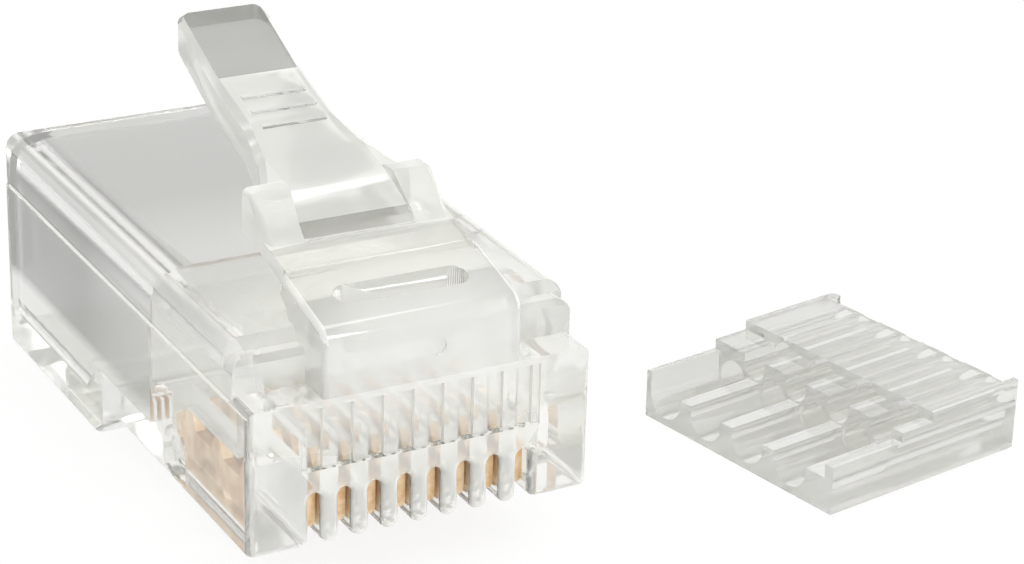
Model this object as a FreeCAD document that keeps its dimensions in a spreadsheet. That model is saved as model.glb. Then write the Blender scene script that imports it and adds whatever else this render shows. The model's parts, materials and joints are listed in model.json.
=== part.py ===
import FreeCAD, Part
import math
import os
import re

import Sketcher
from FreeCAD import Vector

# Uncrimped two-piece modular plug: clear housing with its latch, eight contact blades, strain-relief bar and,
# beside it on the same plane, the load bar.
# X runs across the plug and Y from the mating face to the cable end. Z = 0 is the plane that the foot rests on,
# the latch is on top and the contacts are below.
CONTACT_COUNT = 8
TINE_COUNT = 3
GRIP_RIB_COUNT = 3

# alias, value in millimetres or degrees, what it sets
SIZES = [
    ("bodyWidth", 11.68, "housing across its sides"),
    ("bodyLength", 21.0, "mating face to cable end"),
    ("bodyTop", 7.83, "top face above the resting plane"),
    ("stepRise", 1.36, "underside of the mating end above the foot"),
    ("stepStart", 10.5, "where the underside starts down to the foot"),
    ("footStart", 12.7, "front of the foot"),
    ("stepRound", 0.6, "radius at both ends of that step"),
    ("noseRound", 0.3, "radius along the lower edge of the mating face"),
    ("edgeRound", 0.25, "radius along the outer edges"),
    ("flangeDepth", 1.3, "front flange, mating face to the brow"),
    ("flangeTop", 6.26, "top of the front flange"),
    ("browTop", 7.41, "top of the brow behind the flange"),
    ("browEase", 0.2, "bevel along the brow"),
    ("topStart", 1.9, "where the brow steps up to the top face"),
    ("topRound", 0.55, "radius along the sides of the top face"),
    ("browRound", 0.5, "radius at the sides of the brow"),
    ("flangeRound", 0.2, "radius at the sides of the front flange"),
    ("hair", 0.01, "tolerance for edges, and the overlap of two cuts"),
    ("partingHeight", 6.03, "parting line along the sides"),
    ("partingStep", 0.08, "how far the wall above it is set in"),
    ("wireDistance", 1.02, "contact to contact"),
    ("contactThick", 0.35, "contact blade"),
    ("slotClearance", 0.035, "contact to slot wall, each side"),
    ("slotRoof", 3.1, "top of the slots at the mating face"),
    ("slotDeepStart", 0.4, "where the slots open up into the chamber"),
    ("slotDeepTop", 4.6, "top of that deep part"),
    ("slotEnd", 7.2, "rear end of the slots"),
    ("finFlat", 0.02, "flat left between the two radii of a fin tip"),
    ("recessWidth", 0.52, "shallow recess above each slot"),
    ("recessDepth", 0.3, "its depth into the mating face"),
    ("recessLow", 3.95, "its lower end"),
    ("faceDepth", 0.12, "set-back of the mating face above the slots"),
    ("contactRecess", 0.25, "contact edge behind the fin tips"),
    ("contactFront", 0.5, "front of the contact blades"),
    ("contactRear", 6.9, "rear of the contact blades"),
    ("contactHeight", 1.6, "blade without its tines"),
    ("contactNose", 0.5, "radius of the blade's front lower corner"),
    ("tineHeight", 0.8, "piercing tines above the blade"),
    ("tineBase", 0.9, "width of a tine at its foot"),
    ("tineTip", 0.14, "width of a tine at its tip"),
    ("barLength", 8.7, "load bar, low end to tall end"),
    ("barMargin", 0.98, "outer wire channels to the load bar's sides"),
    ("barLow", 1.7, "height of the low tier"),
    ("barMiddle", 2.05, "height of the middle tier"),
    ("barHigh", 2.4, "height of the tall tier"),
    ("barFirstStep", 3.1, "end of the low tier"),
    ("barSecondStep", 4.5, "end of the middle tier"),
    ("barSide", 0.38, "side walls of the low tier"),
    ("barTrough", 1.2, "height of the ridges between them"),
    ("barFar", 2.1, "height of the top at the tall end"),
    ("barFarLength", 0.55, "length of that lower part"),
    ("barCorner", 0.3, "radius of the corners at the tall end"),
    ("wideRadius", 0.75, "wire channels in the low tier"),
    ("wideCentre", 1.0, "their centre height"),
    ("lowerRadius", 0.6, "lower wire channels"),
    ("lowerCentre", 0.95, "their centre height"),
    ("upperRadius", 0.5, "upper wire channels"),
    ("upperCentre", 1.75, "their centre height"),
    ("barPlaceX", 13.35, "where the load bar's corner lies"),
    ("barPlaceY", -2.79, "where the load bar's corner lies"),
    ("barTurn", 10.5, "how far it is turned, degrees"),
    ("chamberClearance", 0.1, "load bar to chamber wall, each side"),
    ("chamberFloor", 4.1, "floor of the load-bar chamber"),
    ("chamberFront", 1.5, "front end of the chamber"),
    ("rampRound", 1.1, "radius of the chamber floor's rear edge"),
    ("cavityStart", 8.3, "front end of the cable cavity"),
    ("sideWall", 0.94, "side walls round the cable cavity"),
    ("cavityTop", 7.0, "its ceiling"),
    ("cavityFloor", 2.3, "its floor behind the slots"),
    ("cavityDrop", 12.9, "where that floor starts down into the foot"),
    ("cavityRun", 14.4, "where it reaches the foot's floor"),
    ("footFloor", 0.9, "floor of the cable entry"),
    ("cavityRound", 0.9, "radius along the cavity's edges"),
    ("mouthBevel", 0.35, "bevel round the cable entry"),
    ("archFront", 4.8, "side recess, front edge"),
    ("archWidth", 1.8, "side recess along the side"),
    ("archRise", 2.0, "side recess above the underside"),
    ("archSill", 0.3, "side recess above the lower edge"),
    ("archDepth", 0.35, "side recess into the wall"),
    ("reliefWidth", 8.0, "strain-relief bar across"),
    ("reliefHinge", 16.2, "its flexure, from the mating face"),
    ("reliefLength", 2.95, "flexure to the free edge"),
    ("reliefThick", 1.35, "thickness near the free edge"),
    ("reliefSlope", 0.35, "length of the slope at the free edge"),
    ("reliefDrop", 0.15, "its height"),
    ("reliefToe", 0.1, "bevel under the free edge"),
    ("reliefGap", 0.12, "free edge to its window"),
    ("reliefSideGap", 0.05, "sides to its window"),
    ("hingeClearance", 0.03, "between the two halves of a flexure"),
    ("rootWidth", 6.7, "latch root across"),
    ("rootLow", 6.03, "lower edge of the root's front face"),
    ("rootCrown", 8.39, "height of the root at the mating face"),
    ("rootRound", 0.6, "radius over the front face"),
    ("rootCorner", 0.2, "radius of the root's upright corners"),
    ("rootRear", 2.75, "rear of the root under the latch"),
    ("rootSlotFront", 1.15, "slot in the root, front edge"),
    ("rootSlotWidth", 0.95, "slot along Y"),
    ("rootSlotSpan", 4.5, "slot across, tip to tip"),
    ("rootSlotDepth", 1.1, "slot below the crown"),
    ("gateMarkX", 0.45, "round gate mark on the root, off centre"),
    ("gateMarkZ", 7.3, "its height"),
    ("gateMarkRadius", 0.3, "its radius"),
    ("gateMarkDepth", 0.06, "its depth"),
    ("hingeY", 3.3, "latch flexure, from the mating face"),
    ("hingeZ", 8.86, "latch flexure, above the resting plane"),
    ("plateThick", 0.64, "latch plate at the flexure"),
    ("plateWidth", 6.3, "latch plate across the shoulders"),
    ("plateKnee", 4.45, "where the lever rises from the plate"),
    ("plateKneeTop", 9.42, "top of the plate there"),
    ("plateKneeLow", 8.94, "underside of the plate there"),
    ("shoulderY", 6.45, "locking shoulders"),
    ("shoulderTop", 10.7, "top of the shoulders"),
    ("shoulderLow", 9.26, "underside of the latch there"),
    ("earInner", 1.7, "middle of the latch to each shoulder, at the rear"),
    ("earInnerFront", 1.9, "the same at the foot of the ramp"),
    ("earInnerBend", 4.9, "where the ramp starts to widen"),
    ("earRampEnd", 5.9, "top of the shoulders' ramp"),
    ("earRound", 0.25, "radius over the outside of the shoulders"),
    ("leverWidth", 3.24, "lever across"),
    ("flareWidth", 5.0, "lever across at the shoulders"),
    ("flareWaist", 7.9, "where the flare turns along the lever"),
    ("flareWaistWidth", 3.9, "lever across there"),
    ("flareEnd", 9.8, "where the flare ends"),
    ("leverBevel", 0.22, "bevel along the lever's upper edges"),
    ("leverRampEnd", 5.8, "end of the lever's first ramp"),
    ("leverRampTop", 10.3, "height there"),
    ("leverShoulderTop", 10.63, "height of the lever at the shoulders"),
    ("leverWaist", 8.2, "where the lever starts to rise more"),
    ("leverWaistTop", 10.97, "height there"),
    ("leverKink", 12.3, "where the lever turns up to its tip"),
    ("leverKinkTop", 12.1, "height of the top there"),
    ("leverKinkLow", 10.8, "height of the underside there"),
    ("leverTip", 15.6, "end of the lever"),
    ("leverTipTop", 13.45, "height of the top at the tip"),
    ("leverTipLow", 12.3, "height of the underside at the tip"),
    ("tipRound", 0.5, "radius of the tip"),
    ("shoulderEase", 0.1, "how far the lever runs into the shoulders"),
    ("ribStart", 9.4, "first grip rib"),
    ("ribPitch", 0.8, "rib to rib"),
    ("ribWidth", 0.3, "grip rib along Y"),
    ("ribHeight", 0.08, "grip rib above the lever"),
]

doc = FreeCAD.newDocument("modular_plug")
sheet = doc.addObject("Spreadsheet::Sheet", "Sizes")
for row, (alias, size, note) in enumerate(SIZES, start=1):
    sheet.set(f"A{row}", note)
    sheet.set(f"B{row}", str(size))
    sheet.setAlias(f"B{row}", alias)
doc.recompute()
ALIASES = {alias for alias, _, _ in SIZES}


def bound(expression):
    """The expression with each alias pointing at the sheet."""
    return re.sub(r"[A-Za-z]\w*", lambda m: "Sizes." + m[0] if m[0] in ALIASES else m[0], str(expression))


def value(expression):
    return float(sheet.evalExpression(expression))


def near(a, b):
    return abs(a - b) < 1e-4


# expressions used in more than one place
slotWidth = "(contactThick + 2 * slotClearance)"
firstSlot = f"(-{CONTACT_COUNT - 1} * wireDistance / 2)"
cavityWidth = "(bodyWidth - 2 * sideWall)"
barWidth = f"({CONTACT_COUNT - 1} * wireDistance + 2 * barMargin)"
chamberWidth = f"({barWidth} + 2 * chamberClearance)"
chamberTop = "(chamberFloor + barHigh + chamberClearance)"
contactLow = "(stepRise + contactRecess)"
bladeTop = f"({contactLow} + contactHeight)"
reliefRadius = "(footFloor / 2)"
knuckle = "(plateThick / 2)"


def makeBody(name):
    body = doc.addObject("PartDesign::Body", name)
    body.Label = name
    return body


def plane(body, role):
    return next(item for item in body.Origin.OriginFeatures if item.Role == role)


def makeSketch(body, name, role, lift="0"):
    sketch = body.newObject("Sketcher::SketchObject", name)
    sketch.AttachmentSupport = [(plane(body, role), "")]
    sketch.MapMode = "FlatFace"
    sketch.setExpression("AttachmentOffset.Base.z", bound(lift))
    return sketch


def fixPoint(sketch, geometry, end, u, v):
    """Ties one point of the sketch to the sheet."""
    for kind, expression in (("DistanceX", u), ("DistanceY", v)):
        constraint = Sketcher.Constraint(kind, -1, 1, geometry, end, value(expression))
        sketch.setExpression(f"Constraints[{sketch.addConstraint(constraint)}]", bound(expression))


def addOutline(sketch, corners):
    """A closed outline of straight lines through the corners."""
    first = sketch.GeometryCount
    points = [Vector(value(u), value(v), 0) for u, v in corners]
    count = len(points)
    for i in range(count):
        sketch.addGeometry(Part.LineSegment(points[i], points[(i + 1) % count]))
    for i in range(count):
        sketch.addConstraint(Sketcher.Constraint("Coincident", first + i, 2, first + (i + 1) % count, 1))
    for i, (u, v) in enumerate(corners):
        fixPoint(sketch, first + i, 1, u, v)


def addCircle(sketch, u, v, radius):
    centre = Vector(value(u), value(v), 0)
    circle = sketch.addGeometry(Part.Circle(centre, Vector(0, 0, 1), value(radius)))
    fixPoint(sketch, circle, 3, u, v)
    index = sketch.addConstraint(Sketcher.Constraint("Radius", circle, value(radius)))
    sketch.setExpression(f"Constraints[{index}]", bound(radius))


def addCorner(sketch, side, u, v, radius):
    """What a radius takes off the upper corner at u on that side, and v."""
    corners = [(f"{side} * ({u} - {radius})", v), (f"{side} * ({u} - {radius})", f"{v} + 1"),
               (f"{side} * ({u} + 1)", f"{v} + 1"), (f"{side} * ({u} + 1)", f"{v} - {radius}"),
               (f"{side} * {u}", f"{v} - {radius}")]
    points = [Vector(value(x), value(z), 0) for x, z in corners]
    first = sketch.GeometryCount
    last = len(points) - 1
    for i in range(last):
        sketch.addGeometry(Part.LineSegment(points[i], points[i + 1]))
    centre = Vector(points[0].x, points[last].y, 0)
    circle = Part.Circle(centre, Vector(0, 0, 1), value(radius))
    turns = (0, math.pi / 2) if side > 0 else (math.pi / 2, math.pi)
    arc = sketch.addGeometry(Part.ArcOfCircle(circle, *turns))
    for i in range(last - 1):
        sketch.addConstraint(Sketcher.Constraint("Coincident", first + i, 2, first + i + 1, 1))
    low, high = (1, 2) if side > 0 else (2, 1)
    sketch.addConstraint(Sketcher.Constraint("Coincident", first + last - 1, 2, arc, low))
    sketch.addConstraint(Sketcher.Constraint("Coincident", first, 1, arc, high))
    for i, (x, z) in enumerate(corners[:last]):
        fixPoint(sketch, first + i, 1, x, z)
    fixPoint(sketch, first + last - 1, 2, *corners[last])
    index = sketch.addConstraint(Sketcher.Constraint("Radius", arc, value(radius)))
    sketch.setExpression(f"Constraints[{index}]", bound(radius))


def rectangle(low, high):
    return [low, (high[0], low[1]), high, (low[0], high[1])]


def extrude(kind, sketch, length="0", side="One side", backwards=False):
    """A Pad or Pocket of the sketch; a length of 0 cuts through everything."""
    feature = sketch.getParentGeoFeatureGroup().newObject(f"PartDesign::{kind}", f"{sketch.Name}{kind}")
    feature.Profile = sketch
    feature.SideType = side
    feature.Reversed = backwards
    if length == "0":
        feature.Type = "ThroughAll"
    else:
        feature.setExpression("Length", bound(length))
    doc.recompute()
    return feature


def dress(kind, body, name, size, wanted):
    """Rounds or bevels the edges of the body's tip that the test accepts."""
    tip = body.Tip
    chosen = [f"Edge{i}" for i, edge in enumerate(tip.Shape.Edges, start=1) if wanted(edge)]
    if not chosen:
        raise RuntimeError(f"{name}: no edge to dress")
    feature = body.newObject(f"PartDesign::{kind}", name)
    feature.Base = (tip, chosen)
    feature.setExpression("Radius" if kind == "Fillet" else "Size", bound(size))
    doc.recompute()
    if not feature.isValid():
        raise RuntimeError(f"{name}: {len(chosen)} edges can't be dressed by {size}")
    return feature


def repeat(body, name, originals, role, step, count):
    """A row of copies of the features along one axis of the body."""
    feature = body.newObject("PartDesign::LinearPattern", name)
    feature.Originals = originals
    feature.Direction = (plane(body, role), [""])
    feature.setExpression("Length", bound(f"{step} * {count - 1}"))
    feature.Occurrences = count
    body.Tip = feature
    doc.recompute()
    return feature


def mirror(body, name, originals):
    feature = body.newObject("PartDesign::Mirrored", name)
    feature.Originals = originals
    feature.MirrorPlane = (plane(body, "YZ_Plane"), [""])
    body.Tip = feature
    doc.recompute()
    return feature


def middle(edge):
    return edge.CenterOfMass


def along(edge, axis):
    """True for a straight edge parallel to the axis."""
    start, end = edge.Vertexes[0].Point, edge.Vertexes[-1].Point
    return edge.Curve.TypeId == "Part::GeomLine" and abs((end - start).normalize().dot(axis)) > 0.9999


ACROSS, LENGTHWISE, UPRIGHT = Vector(1, 0, 0), Vector(0, 1, 0), Vector(0, 0, 1)


# ---- housing ----
housing = makeBody("housing")

outside = makeSketch(housing, "Outside", "YZ_Plane")
addOutline(outside, [
    ("0", "stepRise"), ("stepStart", "stepRise"), ("footStart", "0"), ("bodyLength", "0"),
    ("bodyLength", "bodyTop"), ("topStart + browEase", "bodyTop"), ("topStart", "browTop"),
    ("flangeDepth + browEase", "browTop"), ("flangeDepth", "browTop - browEase"),
    ("flangeDepth", "flangeTop"), ("0", "flangeTop"),
])
extrude("Pad", outside, "bodyWidth", side="Symmetric")


def onStep(edge):
    spot = middle(edge)
    atStep = near(spot.y, value("stepStart")) and near(spot.z, value("stepRise"))
    atFoot = near(spot.y, value("footStart")) and near(spot.z, 0)
    return along(edge, ACROSS) and (atStep or atFoot)


dress("Fillet", housing, "StepRounds", "stepRound", onStep)
dress("Fillet", housing, "NoseRound", "noseRound", lambda edge: along(edge, ACROSS)
      and near(middle(edge).y, 0) and near(middle(edge).z, value("stepRise")))
dress("Fillet", housing, "UprightCorners", "edgeRound", lambda edge: along(edge, UPRIGHT)
      and (near(middle(edge).y, 0) or near(middle(edge).y, value("bodyLength"))))

upperSides = makeSketch(housing, "UpperSides", "XZ_Plane")
for side in ("", "-"):
    addOutline(upperSides, rectangle((f"{side}(bodyWidth / 2 - partingStep)", "partingHeight"),
                                     (f"{side}(bodyWidth)", "bodyTop + 1")))
extrude("Pocket", upperSides, side="Symmetric")
for name, start, length, height, radius in (
        ("TopCorners", "topStart", "bodyLength", "bodyTop", "topRound"),
        ("BrowCorners", "flangeDepth", "topStart - flangeDepth", "browTop", "browRound"),
        ("FlangeCorners", "0", "flangeDepth", "flangeTop", "flangeRound")):
    rounding = makeSketch(housing, name, "XZ_Plane", lift=f"-{start}")
    for side in (1, -1):
        addCorner(rounding, side, "(bodyWidth / 2 - partingStep)", height, radius)
    extrude("Pocket", rounding, length)

root = makeSketch(housing, "LatchRoot", "YZ_Plane")
addOutline(root, [
    ("0", "rootLow"), ("0", "rootCrown"), ("hingeY", f"hingeZ + {knuckle}"), ("hingeY", f"hingeZ - {knuckle}"),
    ("rootRear", "hingeZ - plateThick"), ("rootRear - plateThick", "bodyTop - plateThick"),
    ("rootRear - plateThick", "rootLow"),
])
extrude("Pad", root, "rootWidth", side="Symmetric")
dress("Fillet", housing, "RootBrow", "rootRound", lambda edge: near(middle(edge).y, 0)
      and near(middle(edge).z, value("rootCrown")))
dress("Fillet", housing, "RootCorners", "rootCorner", lambda edge: along(edge, UPRIGHT)
      and near(middle(edge).y, 0) and near(abs(middle(edge).x), value("rootWidth / 2"))
      and middle(edge).z > value("flangeTop"))
gateMark = makeSketch(housing, "GateMark", "XZ_Plane")
addCircle(gateMark, "gateMarkX", "gateMarkZ", "gateMarkRadius")
extrude("Pocket", gateMark, "gateMarkDepth")

hingeGroove = makeSketch(housing, "HingeGroove", "YZ_Plane")
addCircle(hingeGroove, "hingeY", "hingeZ", f"{knuckle} + hingeClearance")
extrude("Pocket", hingeGroove, side="Symmetric")

rootSlot = makeSketch(housing, "RootSlot", "XY_Plane", lift="rootCrown - rootSlotDepth")
straight = "(rootSlotSpan - rootSlotWidth) / 2"
addOutline(rootSlot, rectangle((f"-{straight}", "rootSlotFront"), (straight, "rootSlotFront + rootSlotWidth")))
extrude("Pocket", rootSlot, "2 * rootSlotDepth", backwards=True)
for side in ("-", ""):
    slotEndSketch = makeSketch(housing, f"RootSlotEnd{'Left' if side else 'Right'}", "XY_Plane",
                               lift="rootCrown - rootSlotDepth")
    addCircle(slotEndSketch, f"{side}{straight}", "rootSlotFront + rootSlotWidth / 2", "rootSlotWidth / 2")
    extrude("Pocket", slotEndSketch, "2 * rootSlotDepth", backwards=True)

chamber = makeSketch(housing, "Chamber", "YZ_Plane")
addOutline(chamber, rectangle(("chamberFront", "chamberFloor"), ("cavityStart + hair", chamberTop)))
extrude("Pocket", chamber, chamberWidth, side="Symmetric")

cavity = makeSketch(housing, "CableCavity", "YZ_Plane")
addOutline(cavity, [
    ("cavityStart", "cavityFloor"), ("cavityStart", "cavityTop"), ("bodyLength + 1", "cavityTop"),
    ("bodyLength + 1", "footFloor"), ("cavityRun", "footFloor"), ("cavityDrop", "cavityFloor"),
])
extrude("Pocket", cavity, cavityWidth, side="Symmetric")


def onCavityEdge(edge):
    spot = middle(edge)
    atSide = near(abs(spot.x), value(f"{cavityWidth} / 2"))
    atHeight = near(spot.z, value("cavityTop")) or near(spot.z, value("footFloor"))
    return along(edge, LENGTHWISE) and atSide and atHeight


dress("Fillet", housing, "CavityRounds", "cavityRound", onCavityEdge)
dress("Fillet", housing, "ChamberRamp", "rampRound", lambda edge: along(edge, ACROSS)
      and near(middle(edge).z, value("chamberFloor")) and near(middle(edge).y, value("cavityStart")))
dress("Chamfer", housing, "MouthBevel", "mouthBevel", lambda edge: near(middle(edge).y, value("bodyLength"))
      and abs(middle(edge).x) < value(f"{cavityWidth} / 2 + hair")
      and value("footFloor - hair") < middle(edge).z < value("cavityTop + hair"))

window = makeSketch(housing, "ReliefWindow", "YZ_Plane")
addOutline(window, rectangle(("reliefHinge - reliefLength - reliefGap", "-footFloor"),
                             ("reliefHinge", "cavityFloor")))
extrude("Pocket", window, "reliefWidth + 2 * reliefSideGap", side="Symmetric")
reliefGroove = makeSketch(housing, "ReliefGroove", "YZ_Plane")
addCircle(reliefGroove, "reliefHinge", reliefRadius, f"{reliefRadius} + hingeClearance")
extrude("Pocket", reliefGroove, "reliefWidth + 2 * reliefSideGap", side="Symmetric")

# a slot is open to the front under its roof, and opens up into the chamber behind the mating wall
slotFront = makeSketch(housing, "SlotFront", "XZ_Plane")
addOutline(slotFront, rectangle((f"{firstSlot} - {slotWidth} / 2", "0"),
                                (f"{firstSlot} + {slotWidth} / 2", f"slotRoof - {slotWidth} / 2")))
slotFrontCut = extrude("Pocket", slotFront, "slotDeepStart + slotClearance")
slotArch = makeSketch(housing, "SlotArch", "XZ_Plane")
addCircle(slotArch, firstSlot, f"slotRoof - {slotWidth} / 2", f"{slotWidth} / 2")
slotArchCut = extrude("Pocket", slotArch, "slotDeepStart + slotClearance")
slotDeep = makeSketch(housing, "SlotDeep", "YZ_Plane", lift=firstSlot)
addOutline(slotDeep, rectangle(("slotDeepStart", "0"), ("slotEnd", "slotDeepTop")))
slotDeepCut = extrude("Pocket", slotDeep, slotWidth, side="Symmetric")
setBack = makeSketch(housing, "FaceStep", "YZ_Plane")
addOutline(setBack, rectangle(("-faceDepth", "recessLow"), ("faceDepth", "rootLow")))
extrude("Pocket", setBack, f"{CONTACT_COUNT} * wireDistance - slotClearance", side="Symmetric")
recess = makeSketch(housing, "FaceRecess", "YZ_Plane", lift=firstSlot)
addOutline(recess, rectangle(("-recessDepth", "recessLow"), ("recessDepth", "rootLow")))
recessCut = extrude("Pocket", recess, "recessWidth", side="Symmetric")
slotCuts = [slotFrontCut, slotArchCut, slotDeepCut, recessCut]
repeat(housing, "Comb", slotCuts, "X_Axis", "wireDistance", CONTACT_COUNT)


def onFinTip(edge):
    spot = middle(edge)
    return (along(edge, LENGTHWISE) and near(spot.z, value("stepRise")) and spot.y < value("slotEnd")
            and abs(spot.x) < value(f"{CONTACT_COUNT} * wireDistance / 2"))


dress("Fillet", housing, "FinTips", f"(wireDistance - {slotWidth} - finFlat) / 2", onFinTip)

archCuts = []
arch = makeSketch(housing, "SideRecess", "YZ_Plane", lift="bodyWidth / 2 - archDepth")
addOutline(arch, rectangle(("archFront", "stepRise + archSill"),
                           ("archFront + archWidth", "stepRise + archRise - archWidth / 2")))
archCuts.append(extrude("Pocket", arch, "2 * archDepth", backwards=True))
archHead = makeSketch(housing, "SideRecessHead", "YZ_Plane", lift="bodyWidth / 2 - archDepth")
addCircle(archHead, "archFront + archWidth / 2", "stepRise + archRise - archWidth / 2", "archWidth / 2")
archCuts.append(extrude("Pocket", archHead, "2 * archDepth", backwards=True))
mirror(housing, "BothSides", archCuts)

# ---- latch ----
latch = makeBody("latch")

plate = makeSketch(latch, "Plate", "YZ_Plane")
addOutline(plate, [
    ("hingeY", f"hingeZ + {knuckle}"), ("plateKnee", "plateKneeTop"), ("leverRampEnd", "leverRampTop"),
    ("shoulderY", "leverShoulderTop"), ("shoulderY", "shoulderLow"), ("plateKnee", "plateKneeLow"),
    ("hingeY", f"hingeZ - {knuckle}"),
])
extrude("Pad", plate, "plateWidth", side="Symmetric")

ears = makeSketch(latch, "Ears", "XY_Plane", lift="shoulderLow")
for side in ("", "-"):
    addOutline(ears, [
        (f"{side}(plateWidth / 2)", "plateKnee"), (f"{side}(plateWidth / 2)", "shoulderY"),
        (f"{side}(earInner)", "shoulderY"), (f"{side}(earInnerFront)", "earInnerBend"),
        (f"{side}(earInnerFront)", "plateKnee"),
    ])
extrude("Pad", ears, "shoulderTop - shoulderLow")
earRamp = makeSketch(latch, "EarRamp", "YZ_Plane")
addOutline(earRamp, [
    ("plateKnee", "plateKneeTop"), ("earRampEnd", "shoulderTop"), ("earRampEnd", "shoulderTop + 1"),
    ("plateKnee - 1", "shoulderTop + 1"), ("plateKnee - 1", "plateKneeTop"),
])
extrude("Pocket", earRamp, side="Symmetric")
dress("Fillet", latch, "EarRounds", "earRound", lambda edge: near(abs(middle(edge).x), value("plateWidth / 2"))
      and (near(middle(edge).z, value("shoulderTop"))
           or near(middle(edge).z, value("(shoulderTop + plateKneeTop) / 2"))))

lever = makeSketch(latch, "Lever", "YZ_Plane")
addOutline(lever, [
    ("shoulderY - shoulderEase", "leverShoulderTop - shoulderEase"), ("shoulderY", "leverShoulderTop"),
    ("leverWaist", "leverWaistTop"), ("leverKink", "leverKinkTop"), ("leverTip", "leverTipTop"),
    ("leverTip", "leverTipLow"), ("leverKink", "leverKinkLow"), ("shoulderY", "shoulderLow"),
    ("shoulderY - shoulderEase", "shoulderLow + shoulderEase"),
])
extrude("Pad", lever, "flareWidth", side="Symmetric")

plan = makeSketch(latch, "PlanTrim", "XY_Plane")
for side in ("", "-"):
    addOutline(plan, [
        (f"{side}(flareWidth / 2)", "shoulderY"), (f"{side}(flareWaistWidth / 2)", "flareWaist"),
        (f"{side}(leverWidth / 2)", "flareEnd"), (f"{side}(leverWidth / 2)", "leverTip + 1"),
        (f"{side}(flareWidth)", "leverTip + 1"), (f"{side}(flareWidth)", "shoulderY"),
    ])
extrude("Pocket", plan, side="Symmetric")
dress("Fillet", latch, "TipCorners", "tipRound", lambda edge: near(middle(edge).y, value("leverTip"))
      and along(edge, UPRIGHT))


def onLeverSide(edge):
    """The upper edges along both sides of the lever, behind the shoulders."""
    spot = middle(edge)
    lengthwise = not near(edge.Vertexes[0].Point.y, edge.Vertexes[-1].Point.y)
    rise = value("(leverTipTop + leverTipLow - leverShoulderTop - shoulderLow) / 2 / (leverTip - shoulderY)")
    upper = spot.z > value("(leverShoulderTop + shoulderLow) / 2") + (spot.y - value("shoulderY")) * rise
    return spot.y > value("shoulderY + hair") and lengthwise and abs(spot.x) > value("leverWidth / 4") and upper


dress("Chamfer", latch, "LeverBevels", "leverBevel", onLeverSide)

leverRise = "(leverKinkTop - leverWaistTop) / (leverKink - leverWaist)"
ribs = makeSketch(latch, "GripRibs", "YZ_Plane")
for index in range(GRIP_RIB_COUNT):
    start = f"(ribStart + {index} * ribPitch)"
    surface = f"(leverWaistTop + ({start} - leverWaist) * {leverRise})"
    addOutline(ribs, rectangle((start, f"{surface} - ribWidth"),
                               (f"{start} + ribWidth", f"{surface} + ribHeight")))
extrude("Pad", ribs, "leverWidth - 2 * tipRound", side="Symmetric")

latchKnuckle = makeSketch(latch, "Knuckle", "YZ_Plane")
addCircle(latchKnuckle, "hingeY", "hingeZ", knuckle)
extrude("Pad", latchKnuckle, "plateWidth", side="Symmetric")

# ---- contacts ----


def contactOutline():
    """Blade with a row of tines along its top edge."""
    corners = [("contactFront", contactLow), ("contactRear", contactLow), ("contactRear", bladeTop)]
    for index in reversed(range(TINE_COUNT)):
        centre = f"(contactFront + (contactRear - contactFront) * {2 * index + 1} / {2 * TINE_COUNT})"
        corners += [
            (f"{centre} + tineBase / 2", bladeTop), (f"{centre} + tineTip / 2", f"{bladeTop} + tineHeight"),
            (f"{centre} - tineTip / 2", f"{bladeTop} + tineHeight"), (f"{centre} - tineBase / 2", bladeTop),
        ]
    return corners + [("contactFront", bladeTop)]


def makeContact(number):
    contact = makeBody(f"contact_{number}")
    blade = makeSketch(contact, f"Blade{number}", "YZ_Plane")
    addOutline(blade, contactOutline())
    extrude("Pad", blade, "contactThick", side="Symmetric")
    dress("Fillet", contact, f"Nose{number}", "contactNose", lambda edge: along(edge, ACROSS)
          and near(middle(edge).y, value("contactFront")) and near(middle(edge).z, value(contactLow)))
    contact.setExpression("Placement.Base.x", bound(f"{firstSlot} + {number - 1} * wireDistance"))
    return contact


contacts = [makeContact(number) for number in range(1, CONTACT_COUNT + 1)]

# ---- strain-relief bar ----
relief = makeBody("strain_relief_bar")
wedge = makeSketch(relief, "Wedge", "YZ_Plane")
addOutline(wedge, [
    ("reliefHinge", "0"), ("reliefHinge", "footFloor"),
    ("reliefHinge - reliefLength + reliefSlope", "reliefThick"),
    ("reliefHinge - reliefLength", "reliefThick - reliefDrop"),
    ("reliefHinge - reliefLength", "reliefToe"), ("reliefHinge - reliefLength + reliefToe", "0"),
])
extrude("Pad", wedge, "reliefWidth", side="Symmetric")
reliefKnuckle = makeSketch(relief, "ReliefKnuckle", "YZ_Plane")
addCircle(reliefKnuckle, "reliefHinge", reliefRadius, reliefRadius)
extrude("Pad", reliefKnuckle, "reliefWidth", side="Symmetric")

# ---- load bar, with X from its low end to its tall end ----
loadBar = makeBody("load_bar")
tiers = makeSketch(loadBar, "Tiers", "XZ_Plane")
addOutline(tiers, [
    ("0", "0"), ("barLength", "0"), ("barLength", "barHigh"), ("barSecondStep", "barHigh"),
    ("barSecondStep", "barMiddle"), ("barFirstStep", "barMiddle"), ("barFirstStep", "barLow"), ("0", "barLow"),
])
extrude("Pad", tiers, barWidth, backwards=True)

firstLower = "(barMargin + wireDistance)"


def cutChannels(name, centreY, centreZ, radius, boreLength, openLength):
    """A row of round channels, open above for the given length of the bar."""
    bore = makeSketch(loadBar, f"{name}Bore", "YZ_Plane")
    addCircle(bore, centreY, centreZ, radius)
    mouth = makeSketch(loadBar, f"{name}Mouth", "YZ_Plane")
    addOutline(mouth, rectangle((f"{centreY} - {radius}", centreZ), (f"{centreY} + {radius}", "barHigh + 1")))
    cuts = [extrude("Pocket", bore, boreLength, backwards=True),
            extrude("Pocket", mouth, openLength, backwards=True)]
    repeat(loadBar, f"{name}Row", cuts, "Y_Axis", "2 * wireDistance", CONTACT_COUNT // 2)


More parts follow.
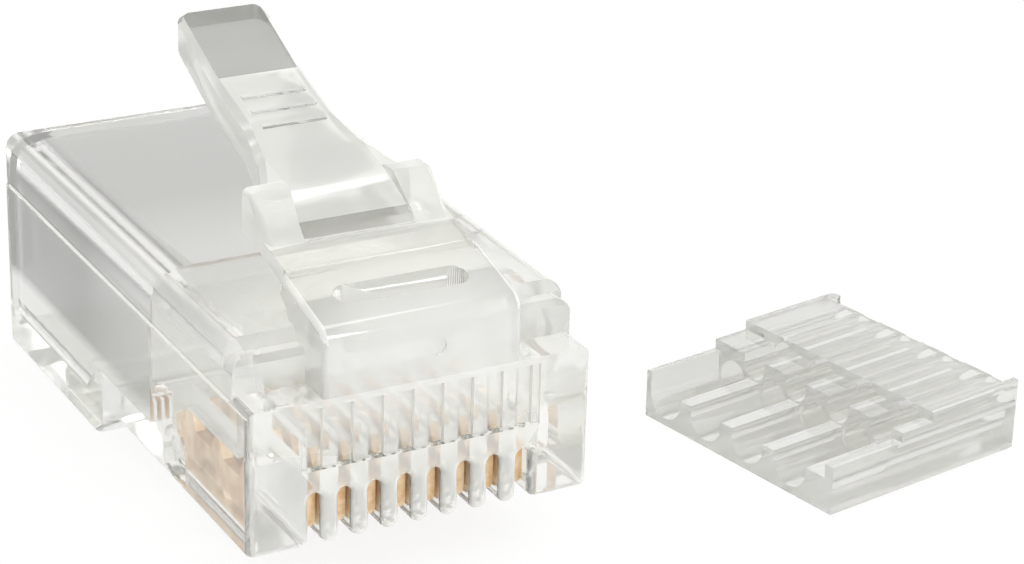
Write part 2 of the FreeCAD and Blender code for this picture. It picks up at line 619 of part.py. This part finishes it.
dress("Fillet", loadBar, "BarCorners", "barCorner", lambda edge: along(edge, UPRIGHT)
      and near(middle(edge).x, value("barLength")))
for name, low, high, floor in (("Trough", "-1", "barFirstStep", "barTrough"),
                               ("FarEnd", "barLength - barFarLength", "barLength + 1", "barFar")):
    lowered = makeSketch(loadBar, name, "XY_Plane", lift=floor)
    addOutline(lowered, rectangle((low, "barSide"), (high, f"{barWidth} - barSide")))
    extrude("Pocket", lowered, "barHigh", backwards=True)
cutChannels("Wide", firstLower, "wideCentre", "wideRadius", "barFirstStep", "barFirstStep")
cutChannels("Lower", firstLower, "lowerCentre", "lowerRadius", "barLength", "barFirstStep")
cutChannels("Upper", "barMargin", "upperCentre", "upperRadius", "barLength", "barSecondStep")
loadBar.setExpression("Placement.Base.x", bound("barPlaceX"))
loadBar.setExpression("Placement.Base.y", bound("barPlaceY"))
loadBar.Placement.Rotation.Axis = UPRIGHT
loadBar.setExpression("Placement.Rotation.Angle", bound("barTurn"))

# ---- checks and files ----
doc.recompute()
pieces = [housing, latch, *contacts, relief, loadBar]
faults = [item.Name for item in doc.Objects if {"Invalid", "Error"} & set(item.State)]
faults += [piece.Label for piece in pieces if piece.Shape.isNull() or not piece.Shape.isValid()
           or len(piece.Shape.Solids) != 1]
if faults:
    raise RuntimeError("failed: " + ", ".join(faults))
os.makedirs("parts", exist_ok=True)
for piece in pieces:
    piece.Shape.exportStep(f"parts/{piece.Label}.step")
    print(f"{piece.Label}: {piece.Shape.Volume:.2f} mm3")
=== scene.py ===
import json
import math

import bmesh
import bpy
from mathutils import Matrix, Vector


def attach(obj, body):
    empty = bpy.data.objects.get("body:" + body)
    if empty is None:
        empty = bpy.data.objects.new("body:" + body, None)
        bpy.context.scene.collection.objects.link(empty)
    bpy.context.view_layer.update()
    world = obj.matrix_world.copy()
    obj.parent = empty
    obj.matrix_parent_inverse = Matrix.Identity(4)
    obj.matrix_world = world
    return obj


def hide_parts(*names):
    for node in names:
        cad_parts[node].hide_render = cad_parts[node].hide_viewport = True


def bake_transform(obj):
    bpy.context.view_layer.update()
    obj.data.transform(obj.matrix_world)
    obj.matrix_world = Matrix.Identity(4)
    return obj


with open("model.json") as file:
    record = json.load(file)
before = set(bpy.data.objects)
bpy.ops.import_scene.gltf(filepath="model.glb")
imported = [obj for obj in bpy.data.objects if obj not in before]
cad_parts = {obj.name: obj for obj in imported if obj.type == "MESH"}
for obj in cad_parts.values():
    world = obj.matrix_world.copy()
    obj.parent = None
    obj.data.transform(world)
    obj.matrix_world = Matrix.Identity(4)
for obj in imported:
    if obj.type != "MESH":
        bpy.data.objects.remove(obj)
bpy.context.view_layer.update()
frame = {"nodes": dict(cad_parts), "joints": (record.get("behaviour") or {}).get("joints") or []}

mm = 0.001
hinges = {joint["name"]: Vector(joint["pos_m"]) for joint in frame["joints"] if joint["type"] == "hinge"}
bladeCount = sum(name.startswith("contact_") for name in frame["nodes"])
print("frame loaded:", len(frame["nodes"]), "solids")


def linear(hexColour):
    channels = [int(hexColour[i:i + 2], 16) / 255 for i in (1, 3, 5)]
    return [c / 12.92 if c <= 0.04045 else ((c + 0.055) / 1.055) ** 2.4 for c in channels] + [1.0]


def addNode(tree, kind, values=None, links=None, **settings):
    node = tree.nodes.new(kind)
    for name, setting in settings.items():
        setattr(node, name, setting)
    for socket, amount in (values or {}).items():
        node.inputs[socket].default_value = amount
    for socket, source in (links or {}).items():
        tree.links.new(source, node.inputs[socket])
    return node


def newMaterial(name):
    material = bpy.data.materials.new(name)
    material.use_nodes = True
    material.node_tree.nodes.clear()
    return material, material.node_tree


# clear polycarbonate, injection-moulded: glassy with a polished skin, satin where the core pin was and on
# the lever's tip, with painted shade in warm grey on those faces, cloudy round the gate where it was filled,
# with faint flow marks from the mould; lengths in mm
polycarbonate = {
    "colour": "#F3F3EF",
    # painted shade: a darker copy of the clear plastic's colour for the load bar
    "barShadedColour": "#E2E2DF",
    "barClarity": 0.82,
    "barRoughness": 0.1,
    "flashClarity": 0.4,
    # painted shade: a dark warm grey that faces in the cavity, the chamber and on the lever's tip are
    # darkened towards
    "paintedShadeColour": "#3C3C38",
    "milk": "#E9E9E6",
    "coreRoughness": 0.2,
    "satinAndShadeReach": (-2.0, 14.0),
    "satinAndShadeRise": (2.5, 3.0),
    "shade": "#F5F5F3",
    "ior": 1.585,
    "roughness": 0.06,
    "clarity": 0.96,
    "cloud": 0.55,
    "cloudReach": (0.8, 4.6),
    "cloudShape": (2.0, 1.7, 0.85),
    "frost": 0.7,
    "gate": (0.45, 0.0, 7.3),
    "flowLength": 3.0,
    "flowWidth": 0.5,
    "flowDepth": 0.001,
    "flowStrength": 0.5,
    "satinAndShadeBelowFloor": 0.3,
}


def hazeRoundGate(tree, place, look):
    atGate = addNode(tree, "ShaderNodeMapping", {
        "Location": [-at * mm / reach for at, reach in zip(look["gate"], look["cloudShape"])],
        "Scale": [1 / reach for reach in look["cloudShape"]],
    }, {"Vector": place.outputs["Object"]})
    fromGate = addNode(tree, "ShaderNodeVectorMath", None, {0: atGate.outputs["Vector"]}, operation="LENGTH")
    cloud = addNode(tree, "ShaderNodeMapRange", {
        "From Min": look["cloudReach"][0] * mm, "From Max": look["cloudReach"][1] * mm,
        "To Min": look["clarity"] - look["cloud"], "To Max": look["clarity"],
    }, {"Value": fromGate.outputs["Value"]}, interpolation_type="SMOOTHSTEP")
    milky = addNode(tree, "ShaderNodeMapRange", {
        "From Min": look["clarity"], "From Max": look["clarity"] - look["cloud"],
    }, {"Value": cloud.outputs["Result"]})
    frost = addNode(tree, "ShaderNodeAttribute", attribute_name="frost")
    frosted = addNode(tree, "ShaderNodeMath", {1: -look["frost"]},
                      {0: frost.outputs["Fac"], 2: cloud.outputs["Result"]}, operation="MULTIPLY_ADD")
    return frosted.outputs[0], milky.outputs["Result"]


def satinAndPaintedShade(tree, place, look):
    # the satin and the painted shade grow towards the mouth and fade under the cavity's floor
    satin_and_painted_shade = addNode(tree, "ShaderNodeAttribute", attribute_name="satin_and_painted_shade")
    along = addNode(tree, "ShaderNodeSeparateXYZ", None, {0: place.outputs["Object"]})
    depth = addNode(tree, "ShaderNodeMapRange", {
        "From Min": look["satinAndShadeReach"][0] * mm, "From Max": look["satinAndShadeReach"][1] * mm,
    }, {"Value": along.outputs["Y"]})
    rise = addNode(tree, "ShaderNodeMapRange", {
        "From Min": look["satinAndShadeRise"][0] * mm, "From Max": look["satinAndShadeRise"][1] * mm,
        "To Min": look["satinAndShadeBelowFloor"],
    }, {"Value": along.outputs["Z"]})
    share = satin_and_painted_shade.outputs["Fac"]
    for amount in (depth, rise):
        share = addNode(tree, "ShaderNodeMath", None, {0: share, 1: amount.outputs["Result"]},
                        operation="MULTIPLY").outputs[0]
    return share


def gateHazeSatinAndShade(tree, place, plastic, look):
    clarity, milky = hazeRoundGate(tree, place, look)
    satinAndShadeAmount = satinAndPaintedShade(tree, place, look)
    satin = addNode(tree, "ShaderNodeMapRange", {
        "To Min": look["roughness"], "To Max": look["coreRoughness"],
    }, {"Value": satinAndShadeAmount})
    # painted shade: the base colour goes from the clear colour to the dark grey by the satin share
    tone = addNode(tree, "ShaderNodeValToRGB", None, {"Fac": satinAndShadeAmount})
    tone.color_ramp.elements[0].color = linear(look["colour"])
    tone.color_ramp.elements[1].color = linear(look["paintedShadeColour"])
    clouded = addNode(tree, "ShaderNodeMix", {7: linear(look["milk"])},
                      {0: milky, 6: tone.outputs["Color"]}, data_type="RGBA")
    tree.links.new(clarity, plastic.inputs["Transmission Weight"])
    tree.links.new(satin.outputs["Result"], plastic.inputs["Roughness"])
    tree.links.new(clouded.outputs[2], plastic.inputs["Base Color"])


def clearPolycarbonate(name, look, gated=False):
    material, tree = newMaterial(name)
    place = addNode(tree, "ShaderNodeTexCoord")
    across, along = 1 / (look["flowWidth"] * mm), 1 / (look["flowLength"] * mm)
    stretch = addNode(tree, "ShaderNodeMapping", {"Scale": (across, along, across)},
                      {"Vector": place.outputs["Object"]})
    flow = addNode(tree, "ShaderNodeTexNoise", {"Scale": 1.0, "Detail": 2.0},
                   {"Vector": stretch.outputs["Vector"]})
    bump = addNode(tree, "ShaderNodeBump", {
        "Strength": look["flowStrength"], "Distance": look["flowDepth"] * mm,
    }, {"Height": flow.outputs["Fac"]})
    plastic = addNode(tree, "ShaderNodeBsdfPrincipled", {
        "Base Color": linear(look["colour"]),
        "Roughness": look["roughness"],
        "IOR": look["ior"],
        "Transmission Weight": look["clarity"],
    }, {"Normal": bump.outputs["Normal"]})
    if gated:
        gateHazeSatinAndShade(tree, place, plastic, look)
    # lamps shine through, and so does the seam where the lever's share of the moulding meets the housing's
    path = addNode(tree, "ShaderNodeLightPath")
    seam = addNode(tree, "ShaderNodeAttribute", attribute_name="seam")
    passing = addNode(tree, "ShaderNodeMath", None, {
        0: path.outputs["Is Shadow Ray"], 1: seam.outputs["Fac"],
    }, operation="MAXIMUM")
    through = addNode(tree, "ShaderNodeBsdfTransparent", {"Color": linear(look["shade"])})
    mixed = addNode(tree, "ShaderNodeMixShader", None, {
        0: passing.outputs[0], 1: plastic.outputs[0], 2: through.outputs[0]})
    addNode(tree, "ShaderNodeOutputMaterial", None, {"Surface": mixed.outputs[0]})
    return material


# phosphor bronze, stamped and gold-plated: warm, nearly mirror-like, with fine lines along the blade
bronze = {
    "gold": "#F4D8B2",
    "worn": "#E0B380",
    "roughness": 0.28,
    "grain": 0.06,
    "grainLength": 1.2,
    "patch": 0.5,
    "patchStops": (0.35, 0.6),
    "grainStrength": 0.4,
    "grainDepth": 0.01,
}


def goldPlatedBronze(name, look):
    material, tree = newMaterial(name)
    place = addNode(tree, "ShaderNodeTexCoord")
    patches = addNode(tree, "ShaderNodeTexNoise", {"Scale": 1 / (look["patch"] * mm), "Detail": 3.0},
                      {"Vector": place.outputs["Object"]})
    tone = addNode(tree, "ShaderNodeValToRGB", None, {"Fac": patches.outputs["Fac"]})
    for stop, position, colour in zip(tone.color_ramp.elements, look["patchStops"], ("worn", "gold")):
        stop.position = position
        stop.color = linear(look[colour])
    across, along = 1 / (look["grain"] * mm), 1 / (look["grainLength"] * mm)
    stretch = addNode(tree, "ShaderNodeMapping", {"Scale": (across, along, across)},
                      {"Vector": place.outputs["Object"]})
    grain = addNode(tree, "ShaderNodeTexNoise", {"Scale": 1.0, "Detail": 2.0},
                    {"Vector": stretch.outputs["Vector"]})
    bump = addNode(tree, "ShaderNodeBump", {
        "Strength": look["grainStrength"], "Distance": look["grainDepth"] * mm,
    }, {"Height": grain.outputs["Fac"]})
    metal = addNode(tree, "ShaderNodeBsdfPrincipled", {"Metallic": 1.0, "Roughness": look["roughness"]},
                    {"Base Color": tone.outputs["Color"], "Normal": bump.outputs["Normal"]})
    addNode(tree, "ShaderNodeOutputMaterial", None, {"Surface": metal.outputs[0]})
    return material


flashLook = {**polycarbonate, "clarity": polycarbonate["flashClarity"]}
# the load bar's copy of the plastic: darker as painted shade, less clear and rougher
barLook = {**polycarbonate, "colour": polycarbonate["barShadedColour"], "clarity": polycarbonate["barClarity"],
           "roughness": polycarbonate["barRoughness"]}
clearPlastic = clearPolycarbonate("polycarbonate_moulded", polycarbonate)
flashPlastic = clearPolycarbonate("polycarbonate_flash", flashLook)
barPlastic = clearPolycarbonate("polycarbonate_load_bar_painted_shade", barLook)
# its faces carry painted shade in the cavity, the chamber and on the lever's tip, and haze round the gate
gatedPlastic = clearPolycarbonate("polycarbonate_gate_haze_and_painted_shade", polycarbonate, gated=True)
goldContact = goldPlatedBronze("phosphor_bronze_gold_plated", bronze)
print("materials made")


# mm and degrees
finish = {"weld": 0.0002, "cut": 0.0001, "flat": 0.2, "smooth": 28, "faceWeight": 80}


def meshFromNode(name):
    bm = bmesh.new()
    bm.from_mesh(frame["nodes"][name].data)
    bmesh.ops.remove_doubles(bm, verts=bm.verts, dist=finish["weld"] * mm)
    bmesh.ops.scale(bm, vec=Vector((1, 1, 1)) / mm, verts=bm.verts)
    return bm


def middleOf(name):
    across = [vertex.co.x / mm for vertex in frame["nodes"][name].data.vertices]
    return (min(across) + max(across)) / 2


def makePiece(name, bm):
    mesh = bpy.data.meshes.new(name)
    bm.to_mesh(mesh)
    bm.free()
    piece = bpy.data.objects.new(name, mesh)
    bpy.context.scene.collection.objects.link(piece)
    return piece


def applied(piece):
    graph = bpy.context.evaluated_depsgraph_get()
    mesh = bpy.data.meshes.new_from_object(piece.evaluated_get(graph))
    piece.modifiers.clear()
    old = piece.data
    piece.data = mesh
    bpy.data.meshes.remove(old)
    return piece


def combine(piece, other, operation):
    modifier = piece.modifiers.new("combine", "BOOLEAN")
    modifier.object = other
    modifier.operation = operation
    modifier.solver = "EXACT"
    return applied(piece)


def prism(name, outline, halfWidth, middles=(0,)):
    bm = bmesh.new()
    for middle in middles:
        near = bm.faces.new([bm.verts.new((middle - halfWidth, y, z)) for y, z in outline])
        ring = bmesh.ops.extrude_face_region(bm, geom=[near])["geom"]
        bmesh.ops.translate(bm, vec=(2 * halfWidth, 0, 0),
                            verts=[v for v in ring if isinstance(v, bmesh.types.BMVert)])
    bmesh.ops.recalc_face_normals(bm, faces=bm.faces)
    return makePiece(name, bm)


def finishPiece(piece, material, bends=()):
    piece.data.transform(Matrix.Scale(mm, 4))
    piece.data.materials.clear()
    piece.data.materials.append(material)
    piece.data.shade_smooth()
    bm = bmesh.new()
    bm.from_mesh(piece.data)
    bmesh.ops.dissolve_limit(bm, angle_limit=math.radians(finish["flat"]), verts=bm.verts, edges=bm.edges)
    for bend in bends:
        bmesh.ops.bisect_plane(bm, geom=bm.verts[:] + bm.edges[:] + bm.faces[:], dist=finish["cut"] * mm,
                               plane_co=(0, bend * mm, 0), plane_no=(0, 1, 0))
    for edge in bm.edges:
        edge.smooth = edge.calc_face_angle(0) < math.radians(finish["smooth"])
    bmesh.ops.triangulate(bm, faces=bm.faces)
    bm.to_mesh(piece.data)
    bm.free()
    weigh = piece.modifiers.new("weigh", "WEIGHTED_NORMAL")
    weigh.mode = "FACE_AREA"
    weigh.weight = finish["faceWeight"]
    weigh.keep_sharp = True
    return applied(piece)


# housing and latch are one moulding that flexes at the latch's root
moulding = {
    "fillReach": 0.3,
    "fillOverlap": 0.1,
    "fillHalf": 3.15,
    "half": 0.32,
    "skin": 0.001,
    "rootSkin": 0.003,
    "rootSlopes": (0.239, 0.58),
    "leverSlopes": (0.209, 0.348),
    "seam": 0.02,
    "split": 8.0,
    "leverRear": 20,
    "leverTop": 15,
    "leverHalf": 5,
    "flexLength": 2.0,
    "flexRise": 0.3,
    "bends": 8,
    "pocketAlong": (1.3, 1.56),
    "pocketUp": (4.5, 4.82),
    "pocketHalf": 0.2,
}

# how much satin and painted shade the faces of the cavity, the chamber and the lever's tip get, and how much
# less the rest is polished, by box (x, y, z) and by share
polish = {
    "cavity": ((-5.3, 5.3), (8.2, 20.99), (0.4, 7.4)),
    "ceiling": 0.82,
    "cavitySide": 1.0,
    "cavityFloor": 0.8,
    "chamber": ((-4.7, 4.7), (1.4, 8.35), (4.0, 6.7)),
    "chamberSide": 0.6,
    "chamberCeiling": 0.8,
    "pad": ((-1.7, 1.7), (12.2, 15.7), (11.5, 13.6)),
    # painted shade, with the satin, on the top of the lever's tip
    "padSatinAndShade": 0.68,
    "leverFrom": (3.4, 8.5),
    "earFrost": 0.6,
    "cornerFrost": 0.45,
    "leverFrost": 0.6,
    "leverTopFrom": 9.8,
    "leverTopFrost": 0.5,
    "front": ((-5.9, 5.9), (-0.1, 0.3), (0.0, 6.2)),
    "frontFrost": 0.28,
    "fins": ((-3.8, 3.8), (-0.1, 0.6), (1.3, 3.9)),
    "finFrost": 0.6,
    "cornerFrom": 7.0,
    "bevelLean": 0.2,
    "ears": ((1.7, 3.3), (3.6, 7.2), (9.0, 12.0)),
    "rootSlot": ((-2.3, 2.3), (1.1, 2.15), (7.2, 8.3)),
    "recesses": ((-4.2, 4.2), (-0.1, 0.35), (3.9, 6.1)),
}

# how far a face's normal leans to an axis
slightly, partly, mostly, nearly, squarely, upright = 0.3, 0.5, 0.7, 0.8, 0.9, 0.98


def inside(spot, box):
    return all(low < along < high for along, (low, high) in zip(spot, box))


# painted shade with the satin: faces inside the cavity and the chamber, and the top of the lever's tip, get
# the dark share
def satinAndShadeShare(spot, normal, look):
    if inside(spot, look["pad"]) and normal.z > mostly:
        return look["padSatinAndShade"]
    if inside(spot, look["chamber"]) and abs(normal.y) < nearly:
        return look["chamberSide"] if abs(normal.x) > mostly else look["chamberCeiling"] * (normal.z < 0)
    if not inside(spot, look["cavity"]) or abs(normal.y) > nearly:
        return 0.0
    if abs(normal.z) < mostly:
        return look["cavitySide"]
    return look["ceiling"] if normal.z < 0 else look["cavityFloor"]


def frostShare(spot, normal, look):
    # duller: the lever, the shoulders, the front, the slot in the root and the recesses over the contacts
    leverFront, leverLow = look["leverFrom"]
    onEar = inside((abs(spot.x), spot.y, spot.z), look["ears"])
    onLever = spot.y > leverFront and not onEar
    onBevel = look["bevelLean"] < abs(normal.x) < upright and normal.z > look["bevelLean"]
    if inside(spot, look["rootSlot"]) and abs(normal.z) < mostly:
        return 1.0
    if inside(spot, look["recesses"]) and abs(normal.x) > mostly:
        return 1.0
    if inside(spot, look["fins"]) and normal.y < -slightly:
        return look["finFrost"]
    if onLever and spot.z > leverLow and abs(normal.x) > partly:
        return look["leverFrost"]
    if onLever and spot.z > look["leverTopFrom"] and normal.z > partly:
        return look["leverTopFrost"]
    if onEar:
        return look["earFrost"]
    if inside(spot, look["front"]) and normal.y < -nearly:
        return look["frontFrost"]
    return look["cornerFrost"] if spot.z > look["cornerFrom"] and onBevel else 0.0


def flexureOutline(look, y, z):
    top, low = z + look["half"] - look["skin"], z - look["half"] + look["skin"]
    back, reach = look["fillReach"] + look["fillOverlap"], look["fillReach"]
    rootTop, rootLow = look["rootSlopes"]
    leverTop, leverLow = look["leverSlopes"]
    return [
        (y - back, top - rootTop * back),
        (y - back, z - look["half"] + look["rootSkin"] - rootLow * back),
        (y, low),
        (y + reach, low + leverLow * reach),
        (y + reach, top + leverTop * reach),
        (y, top),
    ]


def rectangle(along, up):
    return [(along[0], up[0]), (along[1], up[0]), (along[1], up[1]), (along[0], up[1])]


def markFaces(piece, look, seamY):
    for name in ("seam", "satin_and_painted_shade", "frost"):
        piece.data.attributes.new(name, "FLOAT", "FACE")
    for face in piece.data.polygons:
        spot = face.center / mm
        along = [piece.data.vertices[v].co.y / mm for v in face.vertices]
        onSeam = all(abs(y - seamY) < moulding["skin"] for y in along)
        shares = {"seam": float(onSeam and abs(face.normal.y) > squarely),
                  "satin_and_painted_shade": satinAndShadeShare(spot, face.normal, look), "frost": frostShare(spot, face.normal, look)}
        for name, share in shares.items():
            piece.data.attributes[name].data[face.index].value = share


def makeMoulding(look):
    hinge = hinges["latch_press"] / mm
    seamY = hinge.y + look["seam"]
    housing = makePiece("housingShell", meshFromNode("housing"))
    latch = makePiece("latchShell", meshFromNode("latch"))
    flexure = prism("flexure", flexureOutline(look, hinge.y, hinge.z), look["fillHalf"])
    combine(housing, flexure, "UNION")
    combine(housing, latch, "UNION")
    # room over each front tine for the full press of the blades
    pockets = prism("pockets", rectangle(look["pocketAlong"], look["pocketUp"]), look["pocketHalf"],
                    [middleOf(f"contact_{number}") for number in range(1, bladeCount + 1)])
    combine(housing, pockets, "DIFFERENCE")
    leverSpace = rectangle((seamY, look["leverRear"]), (look["split"], look["leverTop"]))
    cutter = prism("cutter", leverSpace, look["leverHalf"])
    lever = makePiece("lever", bmesh.new())
    lever.data = housing.data.copy()
    combine(housing, cutter, "DIFFERENCE")
    combine(lever, cutter, "INTERSECT")
    for helper in (latch, flexure, pockets, cutter):
        bpy.data.objects.remove(helper)
    housing.name, lever.name = "clearHousing", "clearLatch"
    bendStep = look["flexLength"] / look["bends"]
    bends = [seamY + bendStep * step for step in range(1, look["bends"] + 1)]
    finishPiece(housing, gatedPlastic)
    finishPiece(lever, gatedPlastic, bends)
    for piece in (housing, lever):
        markFaces(piece, polish, seamY)
    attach(housing, "plug")
    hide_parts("housing")
    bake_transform(lever)
    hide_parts("latch")


makeMoulding(moulding)
print("moulding made")

# thin ridges of flash run along both sides where the two halves of the mould met
flash = {"Side": 5.785, "Height": 6.085, "Radius": 0.05, "Front": 1.4, "Rear": 20.6}


def newTree(name, sizes):
    tree = bpy.data.node_groups.new(name, "GeometryNodeTree")
    tree.interface.new_socket("Geometry", in_out="INPUT", socket_type="NodeSocketGeometry")
    for size in sizes:
        tree.interface.new_socket(size, in_out="INPUT", socket_type="NodeSocketFloat")
    tree.interface.new_socket("Geometry", in_out="OUTPUT", socket_type="NodeSocketGeometry")
    return tree, addNode(tree, "NodeGroupInput")


def closeTree(tree, shape, material):
    real = addNode(tree, "GeometryNodeRealizeInstances", None, {"Geometry": shape})
    dressed = addNode(tree, "GeometryNodeSetMaterial", {"Material": material}, {"Geometry": real.outputs[0]})
    addNode(tree, "NodeGroupOutput", None, {"Geometry": dressed.outputs[0]})


def grown(piece, tree, sizes):
    modifier = piece.modifiers.new("grow", "NODES")
    modifier.node_group = tree
    for item in tree.interface.items_tree:
        if item.in_out == "INPUT" and item.name in sizes:
            modifier[item.identifier] = sizes[item.name]
    return applied(piece)


def flashTree(look):
    tree, given = newTree("flash_along_the_parting_line", look)
    ridges = addNode(tree, "GeometryNodeJoinGeometry")
    for side in (-1, 1):
        across = addNode(tree, "ShaderNodeMath", {1: side}, {0: given.outputs["Side"]}, operation="MULTIPLY")
        ends = [addNode(tree, "ShaderNodeCombineXYZ", None, {
            "X": across.outputs[0], "Y": given.outputs[end], "Z": given.outputs["Height"],
        }) for end in ("Front", "Rear")]
        line = addNode(tree, "GeometryNodeCurvePrimitiveLine", None, {
            "Start": ends[0].outputs[0], "End": ends[1].outputs[0]})
        profile = addNode(tree, "GeometryNodeCurvePrimitiveCircle", {"Resolution": 4}, {
            "Radius": given.outputs["Radius"]})
        ridge = addNode(tree, "GeometryNodeCurveToMesh", {"Fill Caps": True}, {
            "Curve": line.outputs[0], "Profile Curve": profile.outputs[0]})
        tree.links.new(ridge.outputs[0], ridges.inputs[0])
    closeTree(tree, ridges.outputs[0], flashPlastic)
    return tree


def makeFlash(look):
    ridges = grown(makePiece("partingFlash", bmesh.new()), flashTree(look), look)
    finishPiece(ridges, flashPlastic)
    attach(ridges, "plug")


makeFlash(flash)
print("flash made")


def makeBar(name, nodeName, body, plastic):
    bar = makePiece(name, meshFromNode(nodeName))
    finishPiece(bar, plastic)
    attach(bar, body)
    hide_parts(nodeName)


makeBar("clearLoadBar", "load_bar", "plug", barPlastic)
makeBar("clearReliefBar", "strain_relief_bar", "relief_flap", clearPlastic)
print("bars made")


def bladeTree():
    # the first blade, moved along the row to its place
    tree, given = newTree("blades_in_a_row", ["Pitch", "Steps"])
    along = addNode(tree, "ShaderNodeMath", None, {0: given.outputs["Pitch"], 1: given.outputs["Steps"]},
                    operation="MULTIPLY")
    place = addNode(tree, "ShaderNodeCombineXYZ", None, {"X": along.outputs[0]})
    spot = addNode(tree, "GeometryNodePoints", {"Count": 1}, {"Position": place.outputs[0]})
    row = addNode(tree, "GeometryNodeInstanceOnPoints", None, {
        "Points": spot.outputs[0], "Instance": given.outputs["Geometry"]})
    closeTree(tree, row.outputs[0], goldContact)
    return tree


def makeBlades():
    tree = bladeTree()
    pitch = (middleOf(f"contact_{bladeCount}") - middleOf("contact_1")) / (bladeCount - 1)
    for number in range(1, bladeCount + 1):
        blade = makePiece(f"blade{number}", meshFromNode("contact_1"))
        finishPiece(grown(blade, tree, {"Pitch": pitch, "Steps": float(number - 1)}), goldContact)
        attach(blade, f"blade_{number}")
        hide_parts(f"contact_{number}")


makeBlades()
print("blades made")

# white sweep in a room that is greyer overhead
stage = {
    "paper": "#F2F2F2",
    "white": "#FFFFFF",
    "shadowShare": 0.18,
    "room": "#C4C4C2",
    "roomBand": ((0.45, "white"), (0.8, "room")),
    "roomLevel": 0.8,
    "floorRadius": 0.9,
    "floorSides": 64,
    "floorDrop": 0.02,
}


def seenRays(tree):
    path = addNode(tree, "ShaderNodeLightPath")
    seen = path.outputs["Is Camera Ray"]
    for ray in ("Is Glossy Ray", "Is Transmission Ray"):
        seen = addNode(tree, "ShaderNodeMath", None, {0: seen, 1: path.outputs[ray]},
                       operation="MAXIMUM").outputs[0]
    return seen


def makeFloor(look):
    bm = bmesh.new()
    bmesh.ops.create_circle(bm, cap_ends=True, radius=look["floorRadius"],
                              segments=look["floorSides"])
    floor = makePiece("floor", bm)
    floor.data.transform(Matrix.Translation((0, 0, -look["floorDrop"] * mm)))
    material, tree = newMaterial("paper_backdrop")
    paper = addNode(tree, "ShaderNodeBsdfDiffuse", {"Color": linear(look["paper"])})
    lift = addNode(tree, "ShaderNodeMath", {1: 1 - look["shadowShare"]}, {0: seenRays(tree)},
                   operation="MULTIPLY")
    glow = addNode(tree, "ShaderNodeEmission", {"Color": linear(look["white"]), "Strength": 1.0})
    mixed = addNode(tree, "ShaderNodeMixShader", None, {
        0: lift.outputs[0], 1: paper.outputs[0], 2: glow.outputs[0]})
    addNode(tree, "ShaderNodeOutputMaterial", None, {"Surface": mixed.outputs[0]})
    floor.data.materials.append(material)


def makeWorld(look):
    world = bpy.data.worlds.new("studio")
    bpy.context.scene.world = world
    world.use_nodes = True
    tree = world.node_tree
    tree.nodes.clear()
    place = addNode(tree, "ShaderNodeTexCoord")
    split = addNode(tree, "ShaderNodeSeparateXYZ", None, {0: place.outputs["Generated"]})
    ramp = addNode(tree, "ShaderNodeValToRGB", None, {"Fac": split.outputs["Z"]})
    for stop, (height, tone) in zip(ramp.color_ramp.elements, look["roomBand"]):
        stop.position = height
        stop.color = linear(look[tone])
    backdrop = addNode(tree, "ShaderNodeBackground", {"Strength": 1.0}, {"Color": ramp.outputs["Color"]})
    room = addNode(tree, "ShaderNodeBackground", {
        "Color": linear(look["white"]), "Strength": look["roomLevel"]})
    mixed = addNode(tree, "ShaderNodeMixShader", None, {
        0: seenRays(tree), 1: room.outputs[0], 2: backdrop.outputs[0]})
    addNode(tree, "ShaderNodeOutputWorld", None, {"Surface": mixed.outputs[0]})


# name, place in m, size in m, watts
lamps = [
    ("topSoftbox", (0.05, 0.1, 0.5), 0.3, 0.9),
    ("frontSoftbox", (0.1, -0.4, 0.3), 0.15, 0.75),
]
lampAim = Vector((0, 0.01, 0.004))


def makeLamps():
    for name, place, size, power in lamps:
        lamp = bpy.data.lights.new(name, "AREA")
        lamp.size = size
        lamp.energy = power
        holder = bpy.data.objects.new(name, lamp)
        bpy.context.scene.collection.objects.link(holder)
        holder.location = place
        aim = lampAim - holder.location
        holder.rotation_euler = aim.to_track_quat("-Z", "Y").to_euler()


# mm, radians, and the clip distances in m
camera = {
    "place": (-39.0638, -76.4975, 46.7166),
    "yaw": 0.50212,
    "pitch": 0.40826,
    "roll": 0.029306,
    "lens": 110.13,
    "sensor": 36,
    "clip": (0.005, 5),
}


def makeCamera(look):
    yaw, pitch, roll = look["yaw"], look["pitch"], look["roll"]
    ahead = Vector((math.sin(yaw) * math.cos(pitch), math.cos(yaw) * math.cos(pitch), -math.sin(pitch)))
    level = Vector((math.cos(yaw), -math.sin(yaw), 0))
    upright = level.cross(ahead)
    right = level * math.cos(roll) + upright * math.sin(roll)
    up = upright * math.cos(roll) - level * math.sin(roll)
    turn = Matrix((right, up, -ahead)).transposed()
    lens = bpy.data.cameras.new("camera")
    lens.sensor_width = look["sensor"]
    lens.lens = look["lens"]
    lens.clip_start, lens.clip_end = look["clip"]
    holder = bpy.data.objects.new("camera", lens)
    bpy.context.scene.collection.objects.link(holder)
    holder.matrix_world = Matrix.Translation(Vector(look["place"]) * mm) @ turn.to_4x4()
    bpy.context.scene.camera = holder


makeFloor(stage)
makeWorld(stage)
makeLamps()
makeCamera(camera)
scene = bpy.context.scene
scene.view_settings.view_transform = "Standard"
# clear walls one behind the other need many bounces
for kind, count in {"max_bounces": 32, "transmission_bounces": 32, "glossy_bounces": 12,
                    "transparent_max_bounces": 32}.items():
    setattr(scene.cycles, kind, count)
print("stage, lamps and camera set")
